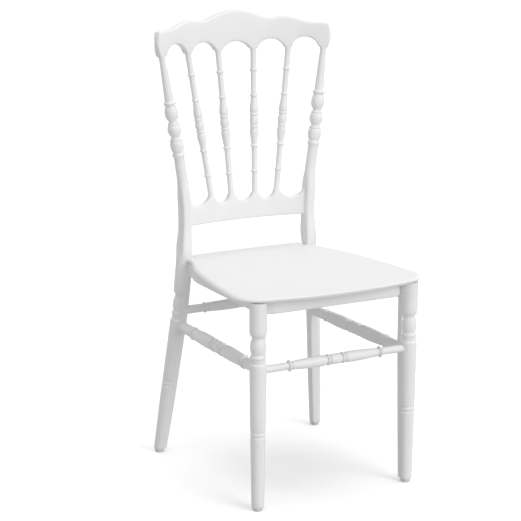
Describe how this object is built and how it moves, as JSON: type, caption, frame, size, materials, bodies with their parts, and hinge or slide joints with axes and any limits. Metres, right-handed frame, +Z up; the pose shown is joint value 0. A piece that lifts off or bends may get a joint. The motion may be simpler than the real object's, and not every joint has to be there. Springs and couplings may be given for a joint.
{
  "type": "napoleon dining chair",
  "caption": "Moulded resin dining chair with turned legs, a flat seat, turned stretchers and a bowed back of fanned turned spindles under a scalloped crest rail.",
  "frame": {"origin": "on the floor under the middle of the chair's box", "axes": "+X to the right seen from the front, +Y to the back, +Z up"},
  "size_m": [0.417, 0.4705, 0.92],
  "materials": {
    "frame_resin": "satin white moulded resin with fine grain",
    "seat_resin": "satin white moulded resin, lightly textured seat",
    "brace_resin": "white moulded resin, unpolished",
    "glide": "white hard plastic glide, scuffed on its sole",
    "steel": "zinc plated steel",
    "brass": "plain turned brass"
  },
  "bodies": {
    "root": {"left_front_leg": "frame_resin", "right_front_leg": "frame_resin", "left_rear_post": "frame_resin", "right_rear_post": "frame_resin", "left_apron": "frame_resin", "right_apron": "frame_resin", "left_stretcher": "frame_resin", "right_stretcher": "frame_resin", "left_front_glide": "glide", "right_front_glide": "glide", "left_rear_glide": "glide", "right_rear_glide": "glide", "left_front_brace": "brace_resin", "right_front_brace": "brace_resin", "left_rear_brace": "brace_resin", "right_rear_brace": "brace_resin", "spindle_1": "frame_resin", "spindle_2": "frame_resin", "spindle_3": "frame_resin", "spindle_4": "frame_resin", "crest_rail": "frame_resin", "lower_back_rail": "frame_resin", "seat_panel": "seat_resin", "front_apron": "frame_resin", "rear_apron": "frame_resin", "front_stretcher": "frame_resin", "rear_stretcher": "frame_resin", "leg_bolts": "steel", "leg_inserts": "brass", "brace_screws": "steel", "seat_screws": "steel"}
  },
  "joints": []
}
